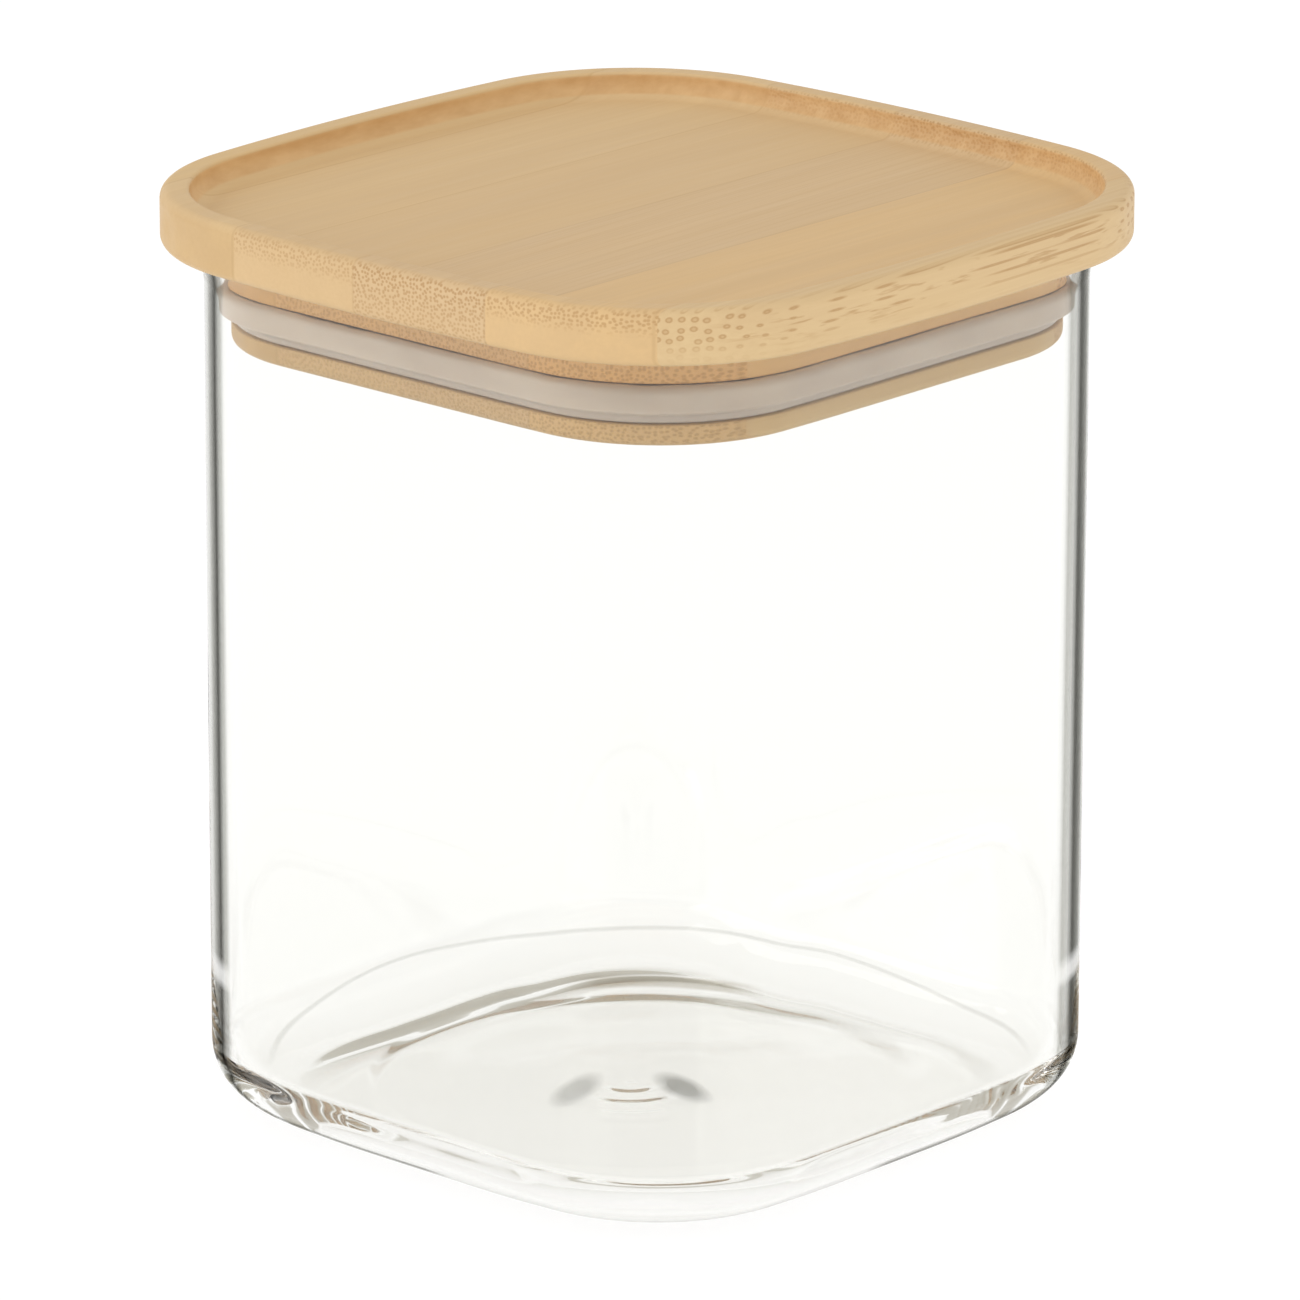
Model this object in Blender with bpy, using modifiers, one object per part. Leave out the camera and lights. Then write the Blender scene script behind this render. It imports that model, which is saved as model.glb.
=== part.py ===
"""Square glass storage jar with a one-piece bamboo lid and a silicone seal ring.

All sizes are in metres and +Z is up. The origin is the middle of the jar's
foot, on the surface that the jar stands on. The lid lifts off along +Z.
"""

import math

import bmesh
import bpy
from mathutils import Vector

# Glass jar
JAR_WIDTH = 0.0892
JAR_HEIGHT = 0.1092
JAR_CORNER_RADIUS = 0.0233
WALL = 0.0015
BASE_THICKNESS = 0.0025
HEEL_RADIUS = 0.0091
FOOT_WIDTH = 0.0042
PUSH_UP_HEIGHT = 0.0009
PUSH_UP_SWEEP = 0.0080
GATHER_RADIUS = 0.0090
GATHER_DEPTH = 0.0005
RIM_BEAD = 0.0019

# Bamboo lid
LID_WIDTH = 0.1000
LID_THICKNESS = 0.0069
LID_SIDE_RADIUS = 0.3120
LID_CORNER_RADIUS = 0.0260
LID_EDGE_ROUND = 0.0011
RECESS_DEPTH = 0.0031
RECESS_RIM = 0.0036
RECESS_FILLET = 0.0016
PLUG_DEPTH = 0.0117
PLUG_EDGE_ROUND = 0.0012
PLUG_CLEARANCE = 0.0018
PLUG_ROOT_SHARE = 0.5

# Seal ring, and the groove that holds it
SEAL_DROP = 0.0039
SEAL_HEIGHT = 0.0050
SEAL_GROOVE_DEPTH = 0.0023
SEAL_LIP_HEIGHT = 0.0034
SEAL_LIP_TAPER = 0.0006
SEAL_EDGE_ROUND = 0.0004

# Gap between neighbours that touch, overrun of cuts, and reach of a weld
TOUCH_GAP = 0.0003
OVERRUN = 0.0020
WELD = 0.000002

# Facet counts
CORNER_SEGMENTS = 12
SIDE_SEGMENTS = 6
HEEL_SEGMENTS = 8
ROUND_SEGMENTS = 4
SWEEP_SEGMENTS = 16
GATHER_RINGS = 6
GATHER_STEPS = 28
BEAD_RESOLUTION = 4

# Angles that tell flat faces, facets of a round and hard edges apart
FLAT_ANGLE = math.radians(0.1)
SMOOTH_ANGLE = math.radians(35)
HARD_ANGLE = math.radians(60)

# Derived sizes
JAR_HALF = JAR_WIDTH / 2
BORE_HALF = JAR_HALF - WALL
BORE_CORNER_RADIUS = JAR_CORNER_RADIUS - WALL
RIM_CENTRE = JAR_HEIGHT - RIM_BEAD / 2
LID_HALF = LID_WIDTH / 2
LID_UNDERSIDE = JAR_HEIGHT + TOUCH_GAP
RECESS_FLOOR = LID_THICKNESS - RECESS_DEPTH
PLUG_HALF = BORE_HALF - PLUG_CLEARANCE
PLUG_CORNER_RADIUS = BORE_CORNER_RADIUS - PLUG_CLEARANCE
SEAL_BOTTOM = -SEAL_DROP - SEAL_HEIGHT
CORE_HALF = PLUG_HALF - SEAL_GROOVE_DEPTH
CORE_CORNER_RADIUS = PLUG_CORNER_RADIUS - SEAL_GROOVE_DEPTH


def clear_scene():
    """Remove every object that the scene holds."""
    for thing in list(bpy.data.objects):
        bpy.data.objects.remove(thing, do_unlink=True)


def new_collection(name):
    """Return a new collection linked to the scene."""
    collection = bpy.data.collections.new(name)
    bpy.context.scene.collection.children.link(collection)
    return collection


def glass_material():
    """Clear glass with the faint green-grey of its edges."""
    glass = bpy.data.materials.new("clear_glass")
    glass.use_nodes = True
    glass.diffuse_color = (0.88, 0.91, 0.89, 0.4)
    shader = glass.node_tree.nodes["Principled BSDF"]
    shader.inputs["Base Color"].default_value = (0.96, 0.98, 0.96, 1.0)
    shader.inputs["Metallic"].default_value = 0.0
    shader.inputs["Roughness"].default_value = 0.02
    shader.inputs["IOR"].default_value = 1.47
    shader.inputs["Transmission Weight"].default_value = 1.0
    return glass


def bamboo_material():
    """Light, honey-coloured bamboo with a thin satin oil finish."""
    bamboo = bpy.data.materials.new("bamboo")
    bamboo.use_nodes = True
    bamboo.diffuse_color = (0.72, 0.50, 0.26, 1.0)
    shader = bamboo.node_tree.nodes["Principled BSDF"]
    shader.inputs["Base Color"].default_value = (0.72, 0.50, 0.26, 1.0)
    shader.inputs["Metallic"].default_value = 0.0
    shader.inputs["Roughness"].default_value = 0.55
    return bamboo


def silicone_material():
    """Cloudy, nearly colourless silicone rubber."""
    silicone = bpy.data.materials.new("cloudy_silicone")
    silicone.use_nodes = True
    silicone.diffuse_color = (0.60, 0.54, 0.48, 1.0)
    shader = silicone.node_tree.nodes["Principled BSDF"]
    shader.inputs["Base Color"].default_value = (0.60, 0.54, 0.48, 1.0)
    shader.inputs["Metallic"].default_value = 0.0
    shader.inputs["Roughness"].default_value = 0.40
    shader.inputs["Transmission Weight"].default_value = 0.15
    return silicone


def arc(centre, radius, start, end, steps):
    """Points along an arc in the plane, with both of its ends."""
    angles = [start + (end - start) * step / steps for step in range(steps + 1)]
    return [centre + radius * Vector((math.cos(angle), math.sin(angle))) for angle in angles]


def square_outline(half_width, corner_radius, side_radius=None):
    """Points of a square with round corners, anticlockwise.

    With a side radius each side is one long arc tangent to its corners, so
    the square is widest at the middle of its sides. Without one the sides
    are straight.
    """
    if side_radius is None:
        corner = half_width - corner_radius
        lean = 0.0
        quarter = []
    else:
        side_centre = half_width - side_radius
        reach = side_radius - corner_radius
        corner = (side_centre + math.sqrt(2 * reach**2 - side_centre**2)) / 2
        lean = math.atan2(corner, corner - side_centre)
        quarter = arc(Vector((side_centre, 0.0)), side_radius, -lean, lean, SIDE_SEGMENTS)[1:-1]
    centre = Vector((corner, corner))
    quarter += arc(centre, corner_radius, lean, math.pi / 2 - lean, CORNER_SEGMENTS)
    points = []
    for _ in range(4):
        points += quarter
        quarter = [point.orthogonal() for point in quarter]
    return points


def outline_curve(name, points):
    """Return an unlinked 2D curve object that closes through the points."""
    curve = bpy.data.curves.new(name, "CURVE")
    curve.dimensions = "2D"
    spline = curve.splines.new("POLY")
    spline.points.add(len(points) - 1)
    for knot, point in zip(spline.points, points):
        knot.co = (point.x, point.y, 0.0, 1.0)
    spline.use_cyclic_u = True
    return bpy.data.objects.new(name, curve)


def mesh_from_curve(guide, collection):
    """Return a closed mesh object made from a curve object, which is removed."""
    bpy.context.scene.collection.objects.link(guide)
    bpy.context.view_layer.update()
    name = guide.name
    evaluated = guide.evaluated_get(bpy.context.evaluated_depsgraph_get())
    mesh = bpy.data.meshes.new_from_object(evaluated)
    mesh.transform(guide.matrix_world)
    bpy.data.objects.remove(guide, do_unlink=True)
    sheet = bmesh.new()
    sheet.from_mesh(mesh)
    bmesh.ops.remove_doubles(sheet, verts=sheet.verts, dist=WELD)
    bmesh.ops.dissolve_limit(
        sheet, angle_limit=FLAT_ANGLE, verts=sheet.verts[:], edges=sheet.edges[:]
    )
    bmesh.ops.recalc_face_normals(sheet, faces=sheet.faces[:])
    sheet.to_mesh(mesh)
    sheet.free()
    solid = bpy.data.objects.new(name, mesh)
    collection.objects.link(solid)
    return solid


def slab(name, points, bottom, top, collection):
    """Return a solid with this outline, flat at two heights."""
    guide = outline_curve(name, points)
    guide.data.fill_mode = "BOTH"
    guide.data.extrude = (top - bottom) / 2
    guide.location.z = (top + bottom) / 2
    return mesh_from_curve(guide, collection)


def hide_tool(solid):
    """Keep a solid out of sight, for use by Boolean modifiers only."""
    solid.hide_render = True
    solid.display_type = "WIRE"


def combine(solid, tool, operation):
    """Join a tool to a solid, or cut it out, by an exact Boolean."""
    hide_tool(tool)
    boolean = solid.modifiers.new(tool.name, "BOOLEAN")
    boolean.operation = operation
    boolean.solver = "EXACT"
    boolean.object = tool


def round_end(solid, level, radius, segments):
    """Round the edge loop of a slab that lies at one height."""
    weights = solid.data.attributes.new("bevel_weight_edge", "FLOAT", "EDGE")
    vertices = solid.data.vertices
    for edge in solid.data.edges:
        if all(abs(vertices[index].co.z - level) < WELD for index in edge.vertices):
            weights.data[edge.index].value = 1.0
    bevel = solid.modifiers.new("round_end", "BEVEL")
    bevel.limit_method = "WEIGHT"
    bevel.width = radius
    bevel.segments = segments


def round_hard_edges(solid, radius):
    """Round every edge of a solid that is still hard."""
    bevel = solid.modifiers.new("round_edges", "BEVEL")
    bevel.limit_method = "ANGLE"
    bevel.angle_limit = HARD_ANGLE
    bevel.width = radius
    bevel.segments = ROUND_SEGMENTS


def finish(solid, surface):
    """Shade a solid smooth between its hard edges and give it its material."""
    solid.data.shade_smooth()
    solid.data.set_sharp_from_angle(angle=SMOOTH_ANGLE)
    solid.data.materials.clear()
    solid.data.materials.append(surface)


def push_up(name, level, collection):
    """Return the body of air under the base, whose top is the push-up.

    It is a slab with a wide round shoulder. Only the shoulder's upper part
    rises above the level, so the foot runs into the push-up at a gentle
    slope, one foot's width inside the heel.
    """
    slope = math.acos(1 - PUSH_UP_HEIGHT / PUSH_UP_SWEEP)
    shoulder = PUSH_UP_SWEEP * (1 - math.sin(slope))
    inset = HEEL_RADIUS + FOOT_WIDTH - shoulder
    outline = square_outline(JAR_HALF - inset, JAR_CORNER_RADIUS - inset)
    top = level + PUSH_UP_HEIGHT
    air = slab(name, outline, top - PUSH_UP_SWEEP - OVERRUN, top, collection)
    round_end(air, top, PUSH_UP_SWEEP, SWEEP_SEGMENTS)
    return air


def gather_mark(name, collection):
    """Return the round dimple where the gather of glass closed, as a turned body.

    Its profile is a cosine dome above the push-up, with a stem below for the cut.
    """
    profile = []
    for ring in range(GATHER_RINGS + 1):
        share = ring / GATHER_RINGS
        rise = GATHER_DEPTH * (1 + math.cos(math.pi * share)) / 2
        profile.append((GATHER_RADIUS * share, 0.0, PUSH_UP_HEIGHT + rise))
    profile.append((GATHER_RADIUS, 0.0, -OVERRUN))
    profile.append((0.0, 0.0, -OVERRUN))
    mesh = bpy.data.meshes.new(name)
    mesh.from_pydata(profile, [(index, index + 1) for index in range(len(profile) - 1)], [])
    dimple = bpy.data.objects.new(name, mesh)
    collection.objects.link(dimple)
    screw = dimple.modifiers.new("turn", "SCREW")
    screw.steps = GATHER_STEPS
    screw.render_steps = GATHER_STEPS
    screw.use_merge_vertices = True
    screw.merge_threshold = WELD
    return dimple


def rim_bead(collection):
    """Return the round bead of a fire-polished rim, a little thicker than the wall."""
    middle = square_outline(JAR_HALF - WALL / 2, JAR_CORNER_RADIUS - WALL / 2)
    guide = outline_curve("rim_bead", middle)
    guide.data.dimensions = "3D"
    guide.data.bevel_depth = RIM_BEAD / 2
    guide.data.bevel_resolution = BEAD_RESOLUTION
    guide.location.z = RIM_CENTRE
    return mesh_from_curve(guide, collection)


def glass_jar(parts, cutters):
    """Blown jar: straight walls, round heel, pushed-up base, fire-polished rim."""
    jar = slab("glass_jar", square_outline(JAR_HALF, JAR_CORNER_RADIUS), 0.0, RIM_CENTRE, parts)
    round_end(jar, 0.0, HEEL_RADIUS, HEEL_SEGMENTS)

    bore = slab(
        "bore_cutter",
        square_outline(BORE_HALF, BORE_CORNER_RADIUS),
        BASE_THICKNESS,
        RIM_CENTRE + OVERRUN,
        cutters,
    )
    round_end(bore, BASE_THICKNESS, HEEL_RADIUS - WALL, HEEL_SEGMENTS)
    combine(bore, push_up("floor_rise_cutter", BASE_THICKNESS, cutters), "DIFFERENCE")

    combine(jar, bore, "DIFFERENCE")
    combine(jar, push_up("push_up_cutter", 0.0, cutters), "DIFFERENCE")
    combine(jar, gather_mark("gather_cutter", cutters), "DIFFERENCE")
    combine(jar, rim_bead(cutters), "UNION")
    finish(jar, glass_material())


def groove_cutter(cutters):
    """Return the square ring of waste that leaves the seal's groove in the plug."""
    bottom = SEAL_BOTTOM - TOUCH_GAP
    top = TOUCH_GAP - SEAL_DROP
    outer = square_outline(PLUG_HALF + OVERRUN, PLUG_CORNER_RADIUS + OVERRUN)
    waste = slab("groove_cutter", outer, bottom, top, cutters)
    inner = square_outline(CORE_HALF, CORE_CORNER_RADIUS)
    core = slab("groove_core", inner, bottom - OVERRUN, top + OVERRUN, cutters)
    core.parent = waste
    combine(waste, core, "DIFFERENCE")
    return waste


def bamboo_lid(parts, cutters):
    """Lid milled from one glued board: plate, tray recess, plug and seal groove."""
    outline = square_outline(LID_HALF, LID_CORNER_RADIUS, LID_SIDE_RADIUS)
    lid = slab("bamboo_lid", outline, 0.0, LID_THICKNESS, parts)
    lid.location.z = LID_UNDERSIDE

    tray = square_outline(
        LID_HALF - RECESS_RIM, LID_CORNER_RADIUS - RECESS_RIM, LID_SIDE_RADIUS - RECESS_RIM
    )
    recess = slab("recess_cutter", tray, RECESS_FLOOR, LID_THICKNESS + OVERRUN, cutters)
    round_end(recess, RECESS_FLOOR, RECESS_FILLET, ROUND_SEGMENTS)
    combine(lid, recess, "DIFFERENCE")
    round_hard_edges(lid, LID_EDGE_ROUND)

    plug_outline = square_outline(PLUG_HALF, PLUG_CORNER_RADIUS)
    root = RECESS_FLOOR * PLUG_ROOT_SHARE
    plug = slab("plug_body", plug_outline, -PLUG_DEPTH, root, cutters)
    round_end(plug, -PLUG_DEPTH, PLUG_EDGE_ROUND, ROUND_SEGMENTS)
    combine(lid, plug, "UNION")

    groove = groove_cutter(cutters)
    combine(lid, groove, "DIFFERENCE")
    for tool in (recess, plug, groove):
        tool.parent = lid
    finish(lid, bamboo_material())
    return lid


def seal_profile():
    """Points of the seal's section, as distance out from the groove's floor and height.

    The lower part is flush with the plug. Above it a lip swells out to the
    glass, with a round top edge.
    """
    flush = SEAL_GROOVE_DEPTH - TOUCH_GAP
    lip = flush + PLUG_CLEARANCE - TOUCH_GAP
    shelf = SEAL_HEIGHT - SEAL_LIP_HEIGHT
    crown = Vector((lip - SEAL_EDGE_ROUND, SEAL_HEIGHT - SEAL_EDGE_ROUND))
    points = [Vector((0.0, 0.0)), Vector((flush - SEAL_EDGE_ROUND, 0.0))]
    points.append(Vector((flush, SEAL_EDGE_ROUND)))
    points.append(Vector((flush, shelf - SEAL_LIP_TAPER)))
    points.append(Vector((lip, shelf)))
    points += arc(crown, SEAL_EDGE_ROUND, 0.0, math.pi / 2, ROUND_SEGMENTS)
    points.append(Vector((0.0, SEAL_HEIGHT)))
    return points


def seal_ring(parts, lid):
    """Silicone ring: its section swept round the floor of the plug's groove.

    A section's +X side faces the inside of its path, so the section is mirrored.
    """
    path = square_outline(CORE_HALF + TOUCH_GAP, CORE_CORNER_RADIUS + TOUCH_GAP)
    mirrored = [Vector((-point.x, point.y)) for point in seal_profile()]
    section = outline_curve("seal_section", mirrored)
    bpy.context.scene.collection.objects.link(section)
    guide = outline_curve("seal_ring", path)
    guide.data.bevel_mode = "OBJECT"
    guide.data.bevel_object = section
    seal = mesh_from_curve(guide, parts)
    bpy.data.objects.remove(section, do_unlink=True)
    seal.location.z = SEAL_BOTTOM
    seal.parent = lid
    finish(seal, silicone_material())


def main():
    """Build the jar, its lid and the seal ring."""
    clear_scene()
    parts = new_collection("storage_jar")
    cutters = new_collection("cutters")
    glass_jar(parts, cutters)
    lid = bamboo_lid(parts, cutters)
    seal_ring(parts, lid)


main()
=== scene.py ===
"""Looks of a square glass storage jar with a bamboo lid and a silicone seal.

Lengths are in metres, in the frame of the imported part: +Z up, the origin in
the middle of the jar's foot, and the grain of the bamboo along Y.
"""

import math

import bpy
import numpy as np
from mathutils import Matrix, Vector


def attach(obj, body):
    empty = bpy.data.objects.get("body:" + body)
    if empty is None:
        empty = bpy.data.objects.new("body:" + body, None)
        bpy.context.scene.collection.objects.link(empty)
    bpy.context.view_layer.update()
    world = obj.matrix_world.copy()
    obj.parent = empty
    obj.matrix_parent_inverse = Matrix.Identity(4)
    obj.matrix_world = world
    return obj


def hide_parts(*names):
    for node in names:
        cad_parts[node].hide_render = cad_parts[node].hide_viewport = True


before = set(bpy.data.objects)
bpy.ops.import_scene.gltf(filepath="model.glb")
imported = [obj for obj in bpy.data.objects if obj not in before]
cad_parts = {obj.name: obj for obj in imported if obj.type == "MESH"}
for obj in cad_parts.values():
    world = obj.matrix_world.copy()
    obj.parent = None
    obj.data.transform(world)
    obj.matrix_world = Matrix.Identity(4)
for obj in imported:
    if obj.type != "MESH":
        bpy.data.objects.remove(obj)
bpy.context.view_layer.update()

# Camera, as solved from the outlines of the lid and the glass in the photograph
CAMERA_AZIMUTH = math.radians(42.33)
CAMERA_ELEVATION = math.radians(17.20)
CAMERA_ROLL = math.radians(0.142)
CAMERA_DISTANCE = 1.2255
CAMERA_SIDE_SHIFT = 0.00042
CAMERA_TARGET_HEIGHT = 0.0576
CAMERA_LENS_MM = 278.4
SENSOR_MM = 36.0

# Glass
JAR_HALF = 0.0446
JAR_HEIGHT = 0.1092
JAR_CORNER = 0.0233
CORNER_EASE = 0.0120
CORNER_TRIM = 0.0005
QUARTER_POINTS = 88
STEPS_PER_POINT = 12
CORNER_CROWDING = 0.45
WALL = 0.0015
BASE = 0.0020
HEEL = 0.0091
HEEL_SQUARENESS = 86.0
FOOT_SIDE = 0.0363
FOOT_DIAGONAL = 0.0414
FLOOR_SIDE = 0.0322
FLOOR_DIAGONAL = 0.0365
FLOOR_STRETCH = 1.06
FLOOR_SHIFT_X = 0.0022
FLOOR_SHIFT_Y = 0.0
FLOOR_WAVE = 0.00006
FLOOR_WAVE_FADE = 0.0100
INNER_HEEL_HEIGHT = 0.0067
INNER_HEEL_POWERS = (1.06, 1.28)
PUSH_UP = 0.0002
PUSH_UP_RADIUS = 0.0350
PUSH_UP_X = 0.0004
PUSH_UP_Y = 0.0006
PUSH_UP_SWEEP = 0.0040
PUSH_UP_LEAN = 0.30
DOME = 0.0004
DOME_RADIUS = 0.0340
RIM_BEAD = 0.0019
BEAD_SWELL = 0.0035
GATHER_X = -0.0018
GATHER_Y = -0.0010
RIPPLE_LENGTH = 0.0041
RIPPLE_HEIGHT = 0.00007
RIPPLE_HALF_WIDTH = 0.0044
RIPPLE_REACH = 0.0130
GATHER_FADE = 0.0060
# Lumps of the gather mark: middle and depth on the diagonals, half width, length, drop
LUMPS = (
    (-0.0092, -0.0045, 0.0026, 0.0110, 0.00012),
    (0.0047, -0.0040, 0.0032, 0.0110, 0.00012),
)

# Lid
LID_UNDERSIDE = 0.1095
LID_HALF = 0.0500
LID_THICKNESS = 0.0069
LID_SIDE_RADIUS = 0.3120
LID_CORNER = 0.0260
LID_EDGE = 0.0013
RECESS_DEPTH = 0.0031
RECESS_RIM = 0.0036
RECESS_FILLET = 0.0024
RIM_EDGE = 0.0005
PLUG_HALF = 0.0413
PLUG_CORNER = 0.0200
PLUG_DEPTH = 0.0117
PLUG_EDGE = 0.0012
GROOVE_DEPTH = 0.0023
GROOVE_EDGE = 0.0002
GROOVE_ROOM_ABOVE = 0.00004
GROOVE_ROOM_BELOW = 0.00014

# Seal
SEAL_TOP = -0.0039
SEAL_BOTTOM = -0.0089
SEAL_LIP_HEIGHT = 0.0034
SEAL_LIP_OUT = 0.0014
SEAL_ROUND = 0.0004
SEAL_SHOULDER = 0.0012
GAP = 0.0003
LIP_FADE = 0.0012
LIP_WAVE = 0.00007
LIP_SAG = 0.00008
# Dents in the lip: place in X and Y, half width, depth
LIP_DENTS = (
    (-0.0083, -0.0420, 0.0011, 0.00020),
    (-0.0150, -0.0420, 0.0016, 0.00010),
)

# Finish of the glass: where a share fades, the first value is full and the second none
GLASS_IOR = 1.5
CLEAR_TINT = (0.985, 0.986, 0.968, 1.0)
UNDERSIDE_HEIGHTS = (0.0012, 0.0016)

# Painted shade, grey ovals at the gather mark: middle and depth on the diagonals, half sizes,
# lean, tone
GATHER_PAINTED_SHADES = (
    (-0.0090, -0.0018, 0.0030, 0.0074, 0.34, (0.30, 0.30, 0.29, 1.0)),
    (0.0046, -0.0015, 0.0032, 0.0066, -0.34, (0.09, 0.09, 0.085, 1.0)),
)

# Painted shade, a thin grey line on the bore: its height at the side corners, what is added at
# the back corner and on the flats, how much less that is to the right, its soft edges, and its
# tone
SHADE_LINE_LOW = 0.0041
SHADE_LINE_BACK = 0.0013
SHADE_LINE_RISE = 0.0022
SHADE_LINE_LEAN = 0.0007
SHADE_LINE_EDGES = (0.00008, 0.00026)
SHADE_LINE_TONE = (0.66, 0.66, 0.63, 1.0)

# Painted shade, a dim olive band in the base: middle and depth on the diagonals, bow, soft
# ends, edges and top
BAND_MIDDLE = 0.0040
BAND_DEPTH = 0.0376
BAND_BOW = 18.0
BAND_ENDS = (0.0088, 0.0140)
BAND_EDGES = (0.0014, 0.0024)
BAND_HEIGHTS = (0.0050, 0.0060)
BAND_SHADE_TONE = (0.47, 0.43, 0.35, 1.0)

# Painted shade, dark edges: steepness of wall and heel as the upward part of the normal, the
# zone of the corners by the way off the flats, and the zone beside the middle by the way
# across
UPRIGHT_SLOPE = 0.25
HEEL_SLOPE = 0.60
CORNER_ZONE = (0.021, 0.013)
SIDE_ZONE = (0.028, 0.025)
FRONT_HEEL_SHARE = 0.28
EDGE_COSINES = (0.46, 0.58)

# Greys of the painted shade at the edges by the cosine between the outside and the line of
# sight, for the corners left and right of the front one, and how much blue their middle greys
# lose
LEFT_EDGE_GREYS = (
    (0.0, 0.97),
    (0.17, 0.72),
    (0.22, 0.46),
    (0.305, 0.12),
    (0.316, 0.12),
    (0.36, 0.47),
    (0.386, 0.57),
    (0.42, 0.95),
    (0.46, 1.0),
)
RIGHT_EDGE_GREYS = (
    (0.0, 0.97),
    (0.10, 0.70),
    (0.15, 0.36),
    (0.22, 0.19),
    (0.26, 0.13),
    (0.284, 0.13),
    (0.348, 0.57),
    (0.37, 0.59),
    (0.41, 0.55),
    (0.448, 0.91),
    (0.48, 1.0),
)
EDGE_WARMTH = 0.09

# Finish of the bamboo: the board's glue lines stand at these places along X
STRIP_START = -0.0625
STRIP_WIDTH = 0.0205
STRIP_COUNT = 6
STRIP_TONES = (
    (0.0, (0.707, 0.490, 0.240)),
    (1 / 6, (0.717, 0.504, 0.261)),
    (2 / 6, (0.697, 0.485, 0.252)),
    (3 / 6, (0.682, 0.480, 0.265)),
    (4 / 6, (0.726, 0.490, 0.238)),
    (5 / 6, (0.722, 0.524, 0.279)),
)

# Pores of the strips: shares of small dots and of large ones, and of small dots that
# stay near the top
PORE_SHARES = ((0.0, 0.0), (2 / 6, 0.60), (3 / 6, 1.0), (4 / 6, 0.75), (5 / 6, 0.0))
LARGE_PORE_SHARES = ((0.0, 0.0), (5 / 6, 1.0))
TOP_PORE_SHARES = ((0.0, 0.0), (2 / 6, 0.9), (3 / 6, 0.0), (4 / 6, 1.0), (5 / 6, 0.0))

# Painted light on the plug by the way down from the lid's underside, in centimetres
PLUG_PAINTED_LIGHT = (
    (0.0, 1.0),
    (0.012, (1.27, 1.12, 0.86)),
    (0.70, (1.27, 1.12, 0.86)),
    (0.80, (0.93, 0.88, 0.75)),
)

# Studio: what the gloss and the glass see of the room, by the upward part of the direction
UPPER_ROOM_TONES = (
    (0.17, 1.0),
    (0.27, (0.56, 0.54, 0.48)),
    (0.85, (0.40, 0.375, 0.315)),
    (1.0, (0.30, 0.275, 0.225)),
)
FLOOR_REACH = 3.0
LAMP_AIM = (0.0, 0.0, 0.06)
LIGHT_BOUNCES = 160


def four_quarters(quarter):
    """Whole outline from its first quarter, by three more right-angle turns."""
    spins = [np.array([[c, -s], [s, c]]) for c, s in ((1, 0), (0, 1), (-1, 0), (0, -1))]
    return np.concatenate([quarter @ spin.T for spin in spins])


def square_ring(half, corner, side_radius=None, per_corner=64, per_side=24):
    """Outline of a square with round corners, as an N x 2 array, anticlockwise.

    Each side is a straight run, or an arc of side_radius tangent to the
    corners. A side's points and a corner's arc are spaced evenly, so two
    outlines of one call pattern match point for point.
    """
    if side_radius is None:
        centre = half - corner
        lean = 0.0
        y = np.linspace(-centre, centre, per_side, endpoint=False)
        side = np.stack([np.full_like(y, half), y], axis=1)
    else:
        side_centre = half - side_radius
        reach = side_radius - corner
        centre = (side_centre + math.sqrt(2 * reach**2 - side_centre**2)) / 2
        lean = math.atan2(centre, centre - side_centre)
        turn = np.linspace(-lean, lean, per_side, endpoint=False)
        side = np.stack(
            [side_centre + side_radius * np.cos(turn), side_radius * np.sin(turn)], axis=1
        )
    turn = np.linspace(lean, math.pi / 2 - lean, per_corner, endpoint=False)
    bend = centre + corner * np.stack([np.cos(turn), np.sin(turn)], axis=1)
    return four_quarters(np.concatenate([side, bend]))


def loft(name, rings, closed_loop=False):
    """Mesh object through a stack of rings, an M x N x 3 array.

    Neighbouring rings are joined by quads. The first and last rings are
    closed by a fan to their middle, unless the stack closes on itself.
    """
    count, around = rings.shape[:2]
    points = rings.reshape(-1, 3)
    row = np.arange(count if closed_loop else count - 1)[:, None]
    column = np.arange(around)[None, :]
    after = (column + 1) % around
    below = (row + 1) % count
    quads = np.stack(
        [
            row * around + column,
            below * around + column,
            below * around + after,
            row * around + after,
        ],
        axis=-1,
    ).reshape(-1, 4)
    faces = quads.tolist()
    if not closed_loop:
        middles = np.stack([rings[0].mean(axis=0), rings[-1].mean(axis=0)])
        points = np.concatenate([points, middles])
        first = len(points) - 2
        last = len(points) - 1
        ring = np.arange(around)
        ahead = (ring + 1) % around
        offset = (count - 1) * around
        faces += np.stack([np.full(around, first), ring, ahead], axis=1).tolist()
        faces += np.stack(
            [np.full(around, last), offset + ahead, offset + ring], axis=1
        ).tolist()
    mesh = bpy.data.meshes.new(name)
    mesh.from_pydata(points.tolist(), [], faces)
    mesh.validate()
    mesh.shade_smooth()
    piece = bpy.data.objects.new(name, mesh)
    bpy.context.scene.collection.objects.link(piece)
    return piece


def note_rows(piece, name, row_values, around):
    """Vertex attribute that gives all points of a ring the value of its row."""
    values = np.repeat(np.asarray(row_values, dtype=np.float32), around)
    count = len(piece.data.vertices)
    values = np.concatenate([values, np.full(count - len(values), values[0], np.float32)])
    if count > around * len(row_values):
        values[-1] = row_values[-1]
    layer = piece.data.attributes.new(name, "FLOAT", "POINT")
    layer.data.foreach_set("value", values)


def arc_rows(inset, height, radius, start, end, steps):
    """Rows of inset and height along an arc: centre plus radius times (cos, sin)."""
    turn = np.radians(np.linspace(start, end, steps + 1))
    return np.stack([inset + radius * np.cos(turn), height + radius * np.sin(turn)], axis=1)


def smooth_step(value):
    """Zero below 0, one above 1, and 3v^2 - 2v^3 between."""
    held = np.clip(value, 0.0, 1.0)
    return held * held * (3.0 - 2.0 * held)


# Jar of glass


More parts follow.
